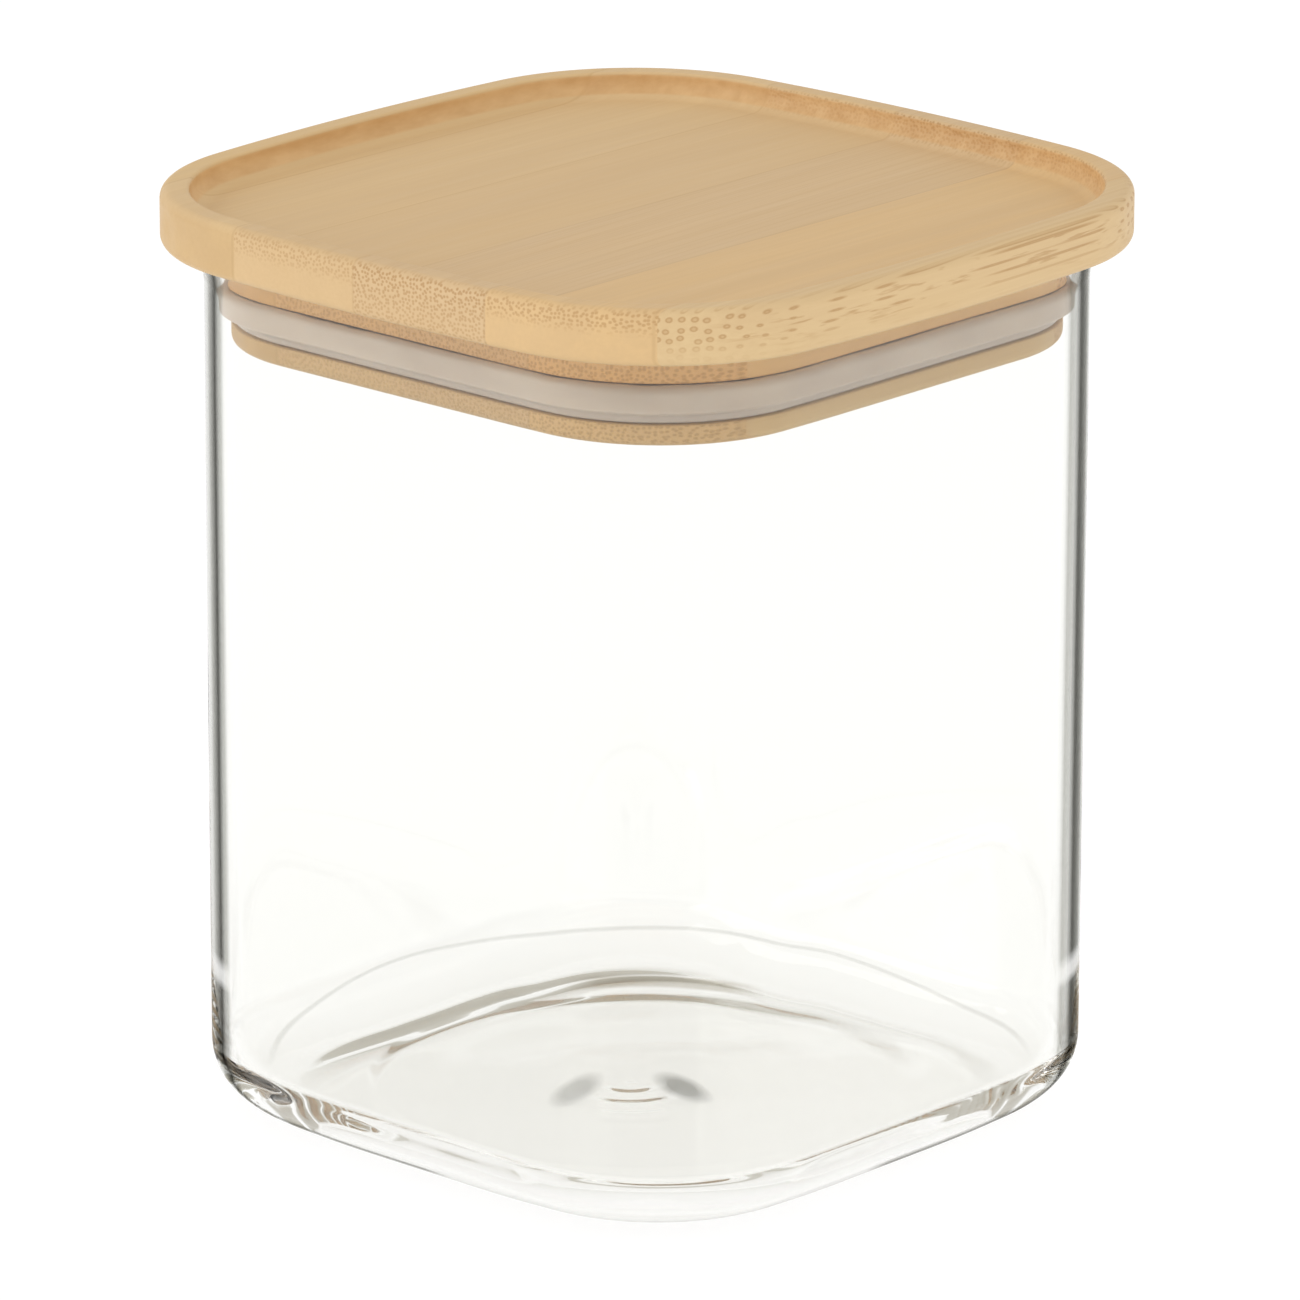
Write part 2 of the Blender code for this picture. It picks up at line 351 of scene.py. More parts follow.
def running_sum(rate, way):
    """Integral of a rate along a way, by trapezoids, starting at zero."""
    pieces = (rate[1:] + rate[:-1]) / 2 * np.diff(way)
    return np.concatenate([[0.0], np.cumsum(pieces)])


def jar_ring(inset):
    """Outline of the jar drawn in by the inset, from the middle of one side.

    Along a quarter the curvature is zero on the flats and one over the corner
    radius in the corner, with a smooth step of length CORNER_EASE between.
    The heading is its integral, and the outline is the integral of the heading.
    The trim makes up for what the soft steps take off the diagonal. The points
    crowd towards the corner by a sine of the share of the way.
    """
    corner = JAR_CORNER - CORNER_TRIM
    flat = JAR_HALF - corner
    quarter = 2 * flat + math.pi / 2 * corner
    share = np.linspace(0, 1, QUARTER_POINTS * STEPS_PER_POINT + 1)
    crowding = CORNER_CROWDING * np.sin(2 * math.pi * share) / (2 * math.pi)
    way = quarter * (share + crowding)
    bend = smooth_step((way - flat) / CORNER_EASE + 0.5)
    bend = bend * smooth_step((quarter - flat - way) / CORNER_EASE + 0.5)
    heading = running_sum(bend, way)
    heading = heading * (math.pi / 2) / heading[-1]
    along = running_sum(np.cos(heading), way)
    inward = running_sum(np.sin(heading), way)
    size = JAR_HALF / along[-1]
    plan = np.stack([JAR_HALF - inward * size, along * size], axis=1)
    plan = plan - inset * np.stack([np.cos(heading), np.sin(heading)], axis=1)
    return four_quarters(plan[:-1:STEPS_PER_POINT])


def floor_rings(square, shares, height):
    """Rings that spread from the gather mark to a round-cornered square.

    At share s a ring is s times the circle about the mark, blended into s
    times the square as s grows. The height is a function of x and y.
    """
    reach = np.linalg.norm(square, axis=1, keepdims=True)
    outward = square / reach
    share = np.asarray(shares)[:, None, None]
    mark = np.array([GATHER_X, GATHER_Y])
    circle = mark + share * reach.min() * outward[None]
    blend = smooth_step((share - 0.30) / 0.65)
    plan = (1.0 - blend) * circle + blend * share * square[None]
    level = height(plan[..., 0], plan[..., 1])
    return np.concatenate([plan, level[..., None]], axis=-1)


def gather_relief(x, y):
    """Relief of the gather mark, below the push-up.

    Each lump is a drop times a Gaussian across one diagonal, times a smooth
    rise and fall along the other. Between the lumps run rings of a damped
    cosine about the mark.
    """
    across = (x + y) / math.sqrt(2)
    along = (y - x) / math.sqrt(2)
    relief = np.zeros_like(x)
    for middle, depth, half_width, length, drop in LUMPS:
        rise = smooth_step((along - depth) / length + 0.5)
        fall = 1.0 - smooth_step((along - depth) / length - 0.5)
        relief -= drop * np.exp(-(((across - middle) / half_width) ** 2)) * rise * fall
    radius = np.hypot(x - GATHER_X, y - GATHER_Y)
    aside = across - (GATHER_X + GATHER_Y) / math.sqrt(2)
    behind = along - (GATHER_Y - GATHER_X) / math.sqrt(2)
    fade = np.exp(-((radius / RIPPLE_REACH) ** 4) - (aside / RIPPLE_HALF_WIDTH) ** 4)
    fade = fade * (1.0 - smooth_step(behind / 0.004 + 0.5))
    return relief + RIPPLE_HEIGHT * np.cos(2 * math.pi * radius / RIPPLE_LENGTH) * fade


def four_way(x, y, side, corner):
    """Radius that is side towards the flat sides and corner towards the corners.

    Between them it follows the squared sine of twice the angle.
    """
    return side + (corner - side) * (2.0 * x * y / (x**2 + y**2 + 1e-12)) ** 2


def underside_height(x, y):
    """Height of the underside: a round step up from the foot, a low dome and the gather mark.

    The step's sweep is longer towards one corner, by a share that grows with
    x + y. The dome is a squared fall-off from the middle, too gentle to shine.
    """
    radius = np.hypot(x - PUSH_UP_X, y - PUSH_UP_Y)
    sweep = PUSH_UP_SWEEP * (1.0 + PUSH_UP_LEAN * (x + y) / PUSH_UP_RADIUS)
    step = PUSH_UP * smooth_step((PUSH_UP_RADIUS - radius) / sweep)
    dome = DOME * np.clip(1.0 - (radius / DOME_RADIUS) ** 2, 0.0, 1.0) ** 2
    mark = gather_relief(x, y) * smooth_step((DOME_RADIUS - radius) / GATHER_FADE)
    return step + dome + mark


def round_outline(side, diagonal):
    """Smooth four-way outline, one point in the direction of each point of the bore."""
    bore = jar_ring(WALL)
    radius = four_way(bore[:, 0], bore[:, 1], side, diagonal)[:, None]
    return radius * bore / np.linalg.norm(bore, axis=1, keepdims=True)


def floor_outline():
    """Outline where the floor inside starts to rise: off centre, and longer along Y."""
    shift = np.array([FLOOR_SHIFT_X, FLOOR_SHIFT_Y])
    return round_outline(FLOOR_SIDE, FLOOR_DIAGONAL) * np.array([1.0, FLOOR_STRETCH]) + shift


def inner_floor_height(x, y):
    """Height of the floor inside: base thickness and soft waves that fade at its edge."""
    wave = FLOOR_WAVE * np.sin(x * 260.0 + 0.4) * np.sin(y * 230.0 + 1.1)
    across, along = x - FLOOR_SHIFT_X, y - FLOOR_SHIFT_Y
    inward = four_way(across, along, FLOOR_SIDE, FLOOR_DIAGONAL) - np.hypot(across, along)
    return BASE + wave * smooth_step(inward / FLOOR_WAVE_FADE)


def inner_heel_rings(steps):
    """Rings from the floor to the bore: a flattened quarter ellipse between the outlines."""
    bore = jar_ring(WALL)
    floor = floor_outline()
    turn = np.linspace(0, math.pi / 2, steps + 1)[1:, None, None]
    outward, upward = INNER_HEEL_POWERS
    plan = floor[None] + np.sin(turn) ** outward * (bore - floor)[None]
    level = 1.0 - np.cos(turn) ** upward
    level = BASE + INNER_HEEL_HEIGHT * level * np.ones((1, len(bore), 1))
    return np.concatenate([plan, level], axis=-1)


def outer_heel_rings(steps):
    """Rings from the wall to the foot: superellipses, squarer where the heel is wider.

    The power is 2 where the width is the heel's own, measured along the wall's
    normal, and grows with what the foot's outline leaves beyond it.
    """
    wall = jar_ring(0.0)
    foot = round_outline(FOOT_SIDE, FOOT_DIAGONAL)
    normal = (jar_ring(-0.001) - wall) / 0.001
    gap = wall - foot
    width = np.linalg.norm(gap, axis=1)
    extra = width - HEEL * width / np.sum(gap * normal, axis=1)
    extra = np.clip(extra, 0.0, None)
    power = (2.0 / (2.0 + HEEL_SQUARENESS * extra))[None, :, None]
    turn = np.linspace(math.pi / 2, 0, steps + 1)[1:, None, None]
    plan = foot[None] + np.sin(turn) ** power * gap[None]
    level = HEEL * (1.0 - np.cos(turn) ** power)
    return np.concatenate([plan, level], axis=-1)


def wall_rings(rows):
    """Rings at rows of inset and height: the jar's outline drawn in by the inset."""
    rings = []
    for inset, height in rows:
        plan = jar_ring(inset)
        rings.append(np.concatenate([plan, np.full((len(plan), 1), height)], axis=1))
    return np.stack(rings)


def glass_jar():
    """Glass jar: floor inside, up the bore, round the rim, and down outside."""
    shares_in = np.concatenate([np.linspace(0.006, 0.34, 24), np.linspace(0.37, 1.0, 22)])
    floor = floor_rings(floor_outline(), shares_in, inner_floor_height)
    heel = inner_heel_rings(28)
    bead_height = JAR_HEIGHT - RIM_BEAD / 2
    spread = (RIM_BEAD - WALL) / 2
    rise = np.linspace(BASE + INNER_HEEL_HEIGHT, bead_height - BEAD_SWELL, 10)[1:]
    bore = np.stack([np.full_like(rise, WALL), rise], axis=1)
    swell = np.linspace(0, 1, 9)[1:]
    into_bead = np.stack(
        [
            WALL + spread * smooth_step(swell),
            bead_height - BEAD_SWELL + BEAD_SWELL * swell,
        ],
        axis=1,
    )
    bead = arc_rows(WALL / 2, bead_height, RIM_BEAD / 2, 0, 180, 16)[1:]
    from_bead = np.stack([WALL - into_bead[::-1, 0], into_bead[::-1, 1]], axis=1)[1:]
    fall = np.linspace(bead_height - BEAD_SWELL, HEEL, 10)
    outside = np.stack([np.zeros_like(fall), fall], axis=1)
    walls = wall_rings(np.concatenate([bore, into_bead, bead, from_bead, outside]))
    heel_out = outer_heel_rings(30)
    shares_out = np.concatenate([np.linspace(0.99, 0.62, 40), np.linspace(0.60, 0.006, 56)])
    foot = round_outline(FOOT_SIDE, FOOT_DIAGONAL)
    under = floor_rings(foot, shares_out, underside_height)
    rings = np.concatenate([floor, heel, walls, heel_out, under])
    piece = loft("jar_glass", rings)
    inner_count = len(floor) + len(heel) + len(bore) + len(into_bead) + len(bead) // 2
    outer = [0.0] * inner_count + [1.0] * (len(rings) - inner_count)
    note_rows(piece, "outer", outer, rings.shape[1])
    return piece


# Lid of bamboo


def lid_rings(rows, outline):
    """Rings at rows of inset and height, for the outline of the plate or the plug."""
    rings = []
    for inset, height in rows:
        if outline == "plate":
            plan = square_ring(LID_HALF - inset, LID_CORNER - inset, LID_SIDE_RADIUS - inset)
        else:
            plan = square_ring(PLUG_HALF - inset, PLUG_CORNER - inset)
        level = np.full((len(plan), 1), LID_UNDERSIDE + height)
        rings.append(np.concatenate([plan, level], axis=1))
    return np.stack(rings)


def shrunk(ring, shares):
    """Copies of a ring drawn towards the middle by the given shares."""
    return np.stack([ring * np.array([share, share, 1.0]) for share in shares])


def bamboo_lid():
    """Bamboo lid: tray recess, rim, side, underside, plug with its groove, and bottom.

    Rows a few tenths of a millimetre beside an edge keep its shading crisp.
    """
    top = LID_THICKNESS
    floor = top - RECESS_DEPTH
    foot = RECESS_RIM + RECESS_FILLET
    plate = np.concatenate(
        [
            [[foot + 0.0004, floor]],
            arc_rows(foot, floor + RECESS_FILLET, RECESS_FILLET, 270, 180, 10),
            arc_rows(RECESS_RIM - RIM_EDGE, top - RIM_EDGE, RIM_EDGE, 0, 90, 6),
            [[RECESS_RIM - RIM_EDGE - 0.0003, top], [LID_EDGE + 0.0003, top]],
            arc_rows(LID_EDGE, top - LID_EDGE, LID_EDGE, 90, 180, 8),
            [[0.0, top - LID_EDGE - 0.0003], [0.0, LID_EDGE + 0.0003]],
            arc_rows(LID_EDGE, LID_EDGE, LID_EDGE, 180, 270, 8),
            [[LID_EDGE + 0.0004, 0.0]],
        ]
    )
    groove_top = SEAL_TOP + GROOVE_ROOM_ABOVE
    groove_bottom = SEAL_BOTTOM - GROOVE_ROOM_BELOW
    edge = GROOVE_EDGE
    plug = np.concatenate(
        [
            [[-0.0006, 0.0], [-0.0001, -0.0001], [0.0, -0.0006]],
            [[0.0, groove_top + edge + 0.0003]],
            arc_rows(edge, groove_top + edge, edge, 180, 270, 4),
            [[edge + 0.0003, groove_top], [GROOVE_DEPTH - 0.0002, groove_top]],
            [[GROOVE_DEPTH, groove_top - 0.0002], [GROOVE_DEPTH, groove_bottom + 0.0002]],
            [[GROOVE_DEPTH - 0.0002, groove_bottom], [edge + 0.0003, groove_bottom]],
            arc_rows(edge, groove_bottom - edge, edge, 90, 180, 4),
            [[0.0, groove_bottom - edge - 0.0002], [0.0, PLUG_EDGE - PLUG_DEPTH + 0.0002]],
            arc_rows(PLUG_EDGE, PLUG_EDGE - PLUG_DEPTH, PLUG_EDGE, 180, 270, 7),
            [[PLUG_EDGE + 0.0004, -PLUG_DEPTH]],
        ]
    )
    plate_rings = lid_rings(plate, "plate")
    plug_rings = lid_rings(plug, "plug")
    tray = shrunk(plate_rings[0], (0.02, 0.25, 0.5, 0.75, 0.95))
    bottom = shrunk(plug_rings[-1], (0.95, 0.6, 0.3, 0.02))
    piece = loft("lid_bamboo", np.concatenate([tray, plate_rings, plug_rings, bottom]))
    # Rows of the routed recess wall, which the finish darkens towards amber, partly as painted
    # shade
    routed = np.zeros(len(tray) + len(plate) + len(plug) + len(bottom))
    first_wall = len(tray) + 1
    routed[first_wall + 5 : first_wall + 13] = 1.0
    note_rows(piece, "routed", routed, plate_rings.shape[1])
    return piece


# Seal of silicone


def silicone_seal():
    """Silicone seal: one section carried round the plug, with an uneven lip.

    The lip's level is a product of two sines along the outline, less a
    Gaussian for each dent, and fades down the section as another Gaussian.
    """
    back = -GROOVE_DEPTH + GAP
    low = SEAL_BOTTOM
    step = SEAL_TOP - SEAL_LIP_HEIGHT
    turn = SEAL_ROUND
    shoulder = SEAL_SHOULDER
    flush = -GAP
    section = np.concatenate(
        [
            [[back, SEAL_TOP], [SEAL_LIP_OUT - shoulder - 0.0001, SEAL_TOP]],
            arc_rows(SEAL_LIP_OUT - shoulder, SEAL_TOP - shoulder, shoulder, 90, 0, 8),
            [[SEAL_LIP_OUT, SEAL_TOP - shoulder - 0.0003], [SEAL_LIP_OUT, step + 0.0004]],
            arc_rows(SEAL_LIP_OUT - 0.0003, step + 0.0002, 0.0003, 0, -70, 4),
            [[flush + 0.0002, step - 0.0005], [flush, step - 0.0008]],
            [[flush, low + turn + 0.0002]],
            arc_rows(flush - turn, low + turn, turn, 0, -90, 5),
            [[flush - turn - 0.0003, low], [back, low]],
        ]
    )
    outline = square_ring(PLUG_HALF, PLUG_CORNER)
    ahead = np.roll(outline, -1, axis=0) - np.roll(outline, 1, axis=0)
    ahead /= np.linalg.norm(ahead, axis=1, keepdims=True)
    outward = np.stack([ahead[:, 1], -ahead[:, 0]], axis=1)
    turns = 2 * math.pi * np.arange(len(outline)) / len(outline)
    lip = np.exp(-(((section[:, 1] - SEAL_TOP) / LIP_FADE) ** 2))[:, None]
    wave = LIP_WAVE * np.sin(23 * turns + 0.8) * np.sin(7 * turns)
    for dent_x, dent_y, half_width, depth in LIP_DENTS:
        away = np.hypot(outline[:, 0] - dent_x, outline[:, 1] - dent_y)
        wave = wave - depth * np.exp(-((away / half_width) ** 2))
    plan = outline[None] + section[:, 0][:, None, None] * outward[None]
    level = LID_UNDERSIDE + section[:, 1][:, None] + lip * (wave - LIP_SAG)[None]
    rings = np.concatenate([plan, level[..., None]], axis=-1)
    return loft("seal_silicone", rings, closed_loop=True)


# Finishes


def add(tree, kind, **settings):
    """New node of a kind, with its settings."""
    made = tree.nodes.new(kind)
    for name, value in settings.items():
        setattr(made, name, value)
    return made


def feed(tree, socket, value):
    """Link a socket to an input, or set the input to a number or colour."""
    if isinstance(value, bpy.types.NodeSocket):
        tree.links.new(value, socket)
    else:
        socket.default_value = value


def calc(tree, operation, *values):
    """Output of a Math node."""
    made = add(tree, "ShaderNodeMath", operation=operation)
    for socket, value in zip(made.inputs, values):
        feed(tree, socket, value)
    return made.outputs[0]


def product(tree, *values):
    """Product of all the values."""
    result = values[0]
    for value in values[1:]:
        result = calc(tree, "MULTIPLY", result, value)
    return result


def split(tree, vector):
    """Outputs X, Y and Z of a vector."""
    made = add(tree, "ShaderNodeSeparateXYZ")
    tree.links.new(vector, made.inputs["Vector"])
    return made.outputs["X"], made.outputs["Y"], made.outputs["Z"]


def blend(tree, share, first, second, mode="MIX"):
    """Output of a colour Mix node."""
    made = add(tree, "ShaderNodeMix", data_type="RGBA", blend_type=mode)
    feed(tree, made.inputs["Factor"], share)
    feed(tree, made.inputs["A"], first)
    feed(tree, made.inputs["B"], second)
    return made.outputs["Result"]


def mix_shaders(tree, share, first, second):
    """Output of a Mix Shader node."""
    made = add(tree, "ShaderNodeMixShader")
    tree.links.new(share, made.inputs["Fac"])
    tree.links.new(first, made.inputs[1])
    tree.links.new(second, made.inputs[2])
    return made.outputs["Shader"]


def ramp(tree, value, stops, interpolation="LINEAR"):
    """Output of a Color Ramp with stops of place and grey or colour."""
    made = add(tree, "ShaderNodeValToRGB")
    made.color_ramp.interpolation = interpolation
    bar = made.color_ramp.elements
    while len(bar) > 1:
        bar.remove(bar[-1])
    for index, (spot, tone) in enumerate(stops):
        stop = bar[0] if index == 0 else bar.new(spot)
        stop.position = spot
        stop.color = (tone, tone, tone, 1.0) if isinstance(tone, float) else (*tone, 1.0)
    feed(tree, made.inputs["Fac"], value)
    return made.outputs["Color"]


def fade(tree, value, full, none):
    """Share that is one at full, zero at none, even between them and held beyond."""
    made = add(tree, "ShaderNodeMapRange", clamp=True)
    made.inputs["From Min"].default_value = none
    made.inputs["From Max"].default_value = full
    tree.links.new(value, made.inputs["Value"])
    return made.outputs["Result"]


def place(tree, scale, shift=(0.0, 0.0, 0.0)):
    """Object coordinates, scaled and shifted."""
    coordinate = add(tree, "ShaderNodeTexCoord")
    mapping = add(tree, "ShaderNodeMapping")
    mapping.inputs["Scale"].default_value = scale
    mapping.inputs["Location"].default_value = shift
    tree.links.new(coordinate.outputs["Object"], mapping.inputs["Vector"])
    return mapping.outputs["Vector"]


def noise(tree, where, detail=2.0, roughness=0.5):
    """Noise with one turn of pattern for each unit of the given coordinates."""
    made = add(tree, "ShaderNodeTexNoise")
    made.inputs["Scale"].default_value = 1.0
    made.inputs["Detail"].default_value = detail
    made.inputs["Roughness"].default_value = roughness
    tree.links.new(where, made.inputs["Vector"])
    return made.outputs["Fac"]


def fibre_cells(tree, across, up, across_scale, up_scale, randomness):
    """Distance to the nearest fibre bundle, for bundles that run along the grain."""
    spot = add(tree, "ShaderNodeCombineXYZ")
    tree.links.new(calc(tree, "MULTIPLY", across, across_scale), spot.inputs["X"])
    tree.links.new(calc(tree, "MULTIPLY", up, up_scale), spot.inputs["Y"])
    made = add(tree, "ShaderNodeTexVoronoi", feature="F1", voronoi_dimensions="2D")
    made.inputs["Scale"].default_value = 1.0
    made.inputs["Randomness"].default_value = randomness
    tree.links.new(spot.outputs["Vector"], made.inputs["Vector"])
    return made.outputs["Distance"]


def start_material(name):
    """Empty node material with an output and a Principled shader."""
    material = bpy.data.materials.new(name)
    material.use_nodes = True
    tree = material.node_tree
    tree.nodes.clear()
    output = add(tree, "ShaderNodeOutputMaterial")
    shader = add(tree, "ShaderNodeBsdfPrincipled")
    tree.links.new(shader.outputs["BSDF"], output.inputs["Surface"])
    return material, tree, shader, output


def add_bump(tree, shader, height, distance, strength):
    """Bump on a shader from a height socket."""
    bump = add(tree, "ShaderNodeBump")
    bump.inputs["Strength"].default_value = strength
    bump.inputs["Distance"].default_value = distance
    tree.links.new(height, bump.inputs["Height"])
    tree.links.new(bump.outputs["Normal"], shader.inputs["Normal"])


# Finish of the glass


def gather_painted_shade(tree, across, deep, under):
    """Clear glass with two leaning grey ovals of painted shade at the gather mark on its
    underside.
    """
    tint = CLEAR_TINT
    for middle, depth, half_width, half_length, lean, tone in GATHER_PAINTED_SHADES:
        lengthways = calc(tree, "SUBTRACT", deep, depth)
        sideways = calc(tree, "SUBTRACT", across, middle)
        sideways = calc(tree, "SUBTRACT", sideways, calc(tree, "MULTIPLY", lengthways, lean))
        sideways = calc(tree, "DIVIDE", sideways, half_width)
        lengthways = calc(tree, "DIVIDE", lengthways, half_length)
        sideways = calc(tree, "MULTIPLY", sideways, sideways)
        lengthways = calc(tree, "MULTIPLY", lengthways, lengthways)
        oval = fade(tree, calc(tree, "ADD", sideways, lengthways), 0.20, 1.0)
        tint = blend(tree, calc(tree, "MULTIPLY", oval, under), tint, tone)
    return tint


def painted_shade_line(tree, x, y, z, deep):
    """Share of a thin line of painted shade on the bore where the heel inside begins, at the
    back.

    Its height is lowest at the side corners, a little more at the back one,
    and most on the flats, by the squared cosine of twice the angle.
    """
    x_squared = calc(tree, "MULTIPLY", x, x)
    y_squared = calc(tree, "MULTIPLY", y, y)
    reach_squared = calc(tree, "ADD", calc(tree, "ADD", x_squared, y_squared), 1e-8)
    flat = calc(tree, "DIVIDE", calc(tree, "SUBTRACT", x_squared, y_squared), reach_squared)
    flat = calc(tree, "MULTIPLY", flat, flat)
    reach = calc(tree, "SQRT", reach_squared)
    right = calc(tree, "DIVIDE", calc(tree, "ADD", x, y), reach)
    rise = calc(tree, "SUBTRACT", SHADE_LINE_RISE, calc(tree, "MULTIPLY", right, SHADE_LINE_LEAN))
    back = calc(tree, "DIVIDE", deep, reach)
    level = calc(tree, "ADD", product(tree, back, back, SHADE_LINE_BACK), SHADE_LINE_LOW)
    level = calc(tree, "ADD", level, calc(tree, "MULTIPLY", flat, rise))
    line = fade(tree, calc(tree, "ABSOLUTE", calc(tree, "SUBTRACT", z, level)), *SHADE_LINE_EDGES)
    return calc(tree, "MULTIPLY", line, fade(tree, back, 0.2, 0.0))


def painted_shade_band(tree, across, deep, z):
    """Share of a band of painted shade at the back, where the floor inside starts to rise.

    It is a bow across the diagonal, and its edges and ends are soft.
    """
    length = calc(tree, "ABSOLUTE", calc(tree, "SUBTRACT", across, BAND_MIDDLE))
    bowed = calc(tree, "ADD", deep, product(tree, across, across, BAND_BOW))
    width = calc(tree, "ABSOLUTE", calc(tree, "SUBTRACT", bowed, BAND_DEPTH))
    return product(
        tree,
        fade(tree, length, *BAND_ENDS),
        fade(tree, width, *BAND_EDGES),
        fade(tree, z, *BAND_HEIGHTS),
    )


def edge_share(tree, x, y, z, across, slope):
    """Share of the outside that gets painted dark edges: the wall's corners and the heel.

    The heel's share is small towards the front and back corners, and a bright
    gap, where the painted shade breaks off, crosses the lines a little above the heel.
    """
    off_flat = calc(tree, "MINIMUM", calc(tree, "ABSOLUTE", x), calc(tree, "ABSOLUTE", y))
    upright = fade(tree, slope, UPRIGHT_SLOPE, HEEL_SLOPE)
    upright = calc(tree, "MULTIPLY", upright, fade(tree, off_flat, *CORNER_ZONE))
    beside = fade(tree, calc(tree, "ABSOLUTE", across), *SIDE_ZONE)
    beside = calc(tree, "MULTIPLY_ADD", beside, 1.0 - FRONT_HEEL_SHARE, FRONT_HEEL_SHARE)
    rolled = ramp(tree, slope, ((0.45, 1.0), (0.70, 0.8), (0.93, 0.8), (0.98, 0.0)))
    rolled = calc(tree, "MULTIPLY", beside, rolled)
    gap = ramp(
        tree,
        calc(tree, "MULTIPLY", z, 10.0),
        ((0.172, 1.0), (0.184, 0.35), (0.196, 0.35), (0.212, 1.0)),
    )
    return calc(tree, "MULTIPLY", calc(tree, "MAXIMUM", upright, rolled), gap)


def warm_ramp(tree, value, greys):
    """Ramp of greys v whose blue is v - EDGE_WARMTH * v * (1 - v)."""
    stops = [(spot, (v, v, v - EDGE_WARMTH * v * (1.0 - v))) for spot, v in greys]
    return ramp(tree, value, stops)


def painted_edge_shade(tree, across, cosine):
    """Painted shade of the edges by the cosine, from the left greys over to the right ones."""
    left = warm_ramp(tree, cosine, LEFT_EDGE_GREYS)
    right = warm_ramp(tree, cosine, RIGHT_EDGE_GREYS)
    return blend(tree, fade(tree, across, 0.005, -0.005), left, right)


def blown_glass():
    """Clear blown glass: soft waves, painted shade in its base, and painted dark lines at its
    edges.

    The dark edges are a refraction with its own tone, by the cosine between the
    surface and the line of sight. On the heel, where the glass is curved both
    ways, the cosine counts double and the lines are thinner. Across and deep
    are the ways along the jar's two diagonals.
    """
    material, tree, shader, output = start_material("blown_glass")
    shader.inputs["Roughness"].default_value = 0.0
    shader.inputs["IOR"].default_value = GLASS_IOR
    shader.inputs["Transmission Weight"].default_value = 1.0
    x, y, z = split(tree, add(tree, "ShaderNodeTexCoord").outputs["Object"])
    across = calc(tree, "MULTIPLY", calc(tree, "ADD", x, y), math.sqrt(0.5))
    deep = calc(tree, "MULTIPLY", calc(tree, "SUBTRACT", y, x), math.sqrt(0.5))
    outer = add(tree, "ShaderNodeAttribute", attribute_name="outer").outputs["Fac"]
    inner = calc(tree, "SUBTRACT", 1.0, outer)

    # Painted shade: grey ovals on the underside at the gather mark
    under = calc(tree, "MULTIPLY", fade(tree, z, *UNDERSIDE_HEIGHTS), outer)
    tint = gather_painted_shade(tree, across, deep, under)
    # Painted shade: a thin grey line where the heel inside begins, at the back
    shade_line = calc(tree, "MULTIPLY", painted_shade_line(tree, x, y, z, deep), inner)
    tint = blend(tree, shade_line, tint, SHADE_LINE_TONE)
    # Painted shade: a dim olive band at the back of the floor inside
    band = calc(tree, "MULTIPLY", painted_shade_band(tree, across, deep, z), inner)
    tint = blend(tree, band, tint, BAND_SHADE_TONE)
    tree.links.new(tint, shader.inputs["Base Color"])
    waves = noise(tree, place(tree, (60.0, 60.0, 25.0)), 1.0)
    add_bump(tree, shader, waves, 0.00006, 0.5)

    # Painted shade: dark lines at the edges, a refraction tinted grey by the cosine to the
    # line of sight
    surface = add(tree, "ShaderNodeNewGeometry")
    slope = calc(tree, "ABSOLUTE", split(tree, surface.outputs["Normal"])[2])
    front = calc(tree, "SUBTRACT", 1.0, surface.outputs["Backfacing"])
    sight = add(tree, "ShaderNodeLayerWeight")
    sight.inputs["Blend"].default_value = 0.5
    cosine = calc(tree, "SUBTRACT", 1.0, sight.outputs["Facing"])
    double = calc(tree, "ADD", fade(tree, slope, HEEL_SLOPE, UPRIGHT_SLOPE), 1.0)
    cosine = calc(tree, "MULTIPLY", cosine, double)
    bent = add(tree, "ShaderNodeBsdfRefraction")
    bent.inputs["Roughness"].default_value = 0.0
    bent.inputs["IOR"].default_value = GLASS_IOR
    tree.links.new(painted_edge_shade(tree, across, cosine), bent.inputs["Color"])
    share = product(
        tree,
        outer,
        front,
        edge_share(tree, x, y, z, across, slope),
        fade(tree, cosine, *EDGE_COSINES),
    )
    edged = mix_shaders(tree, share, shader.outputs["BSDF"], bent.outputs["BSDF"])

    through = add(tree, "ShaderNodeBsdfTransparent")
    through.inputs["Color"].default_value = (0.97, 0.97, 0.96, 1.0)
    shadow = add(tree, "ShaderNodeLightPath").outputs["Is Shadow Ray"]
    whole = mix_shaders(tree, shadow, edged, through.outputs["BSDF"])
    tree.links.new(whole, output.inputs["Surface"])
    return material


# Finish of the bamboo


def strip_tone(tree, along, fine):
    """Colour of the glued strips, with fine and broad streaks along the grain."""
    tone = ramp(tree, along, STRIP_TONES, "CONSTANT")
    broad = noise(tree, place(tree, (190.0, 6.0, 190.0), (3.1, 0.7, 1.9)), 2.0, 0.5)
    fine = ramp(tree, fine, ((0.30, 0.30), (0.70, 0.0)))
    broad = ramp(tree, broad, ((0.35, 0.42), (0.68, 0.0)))
    tone = blend(tree, fine, tone, (0.60, 0.40, 0.20, 1.0))
    return blend(tree, broad, tone, (0.63, 0.43, 0.225, 1.0))


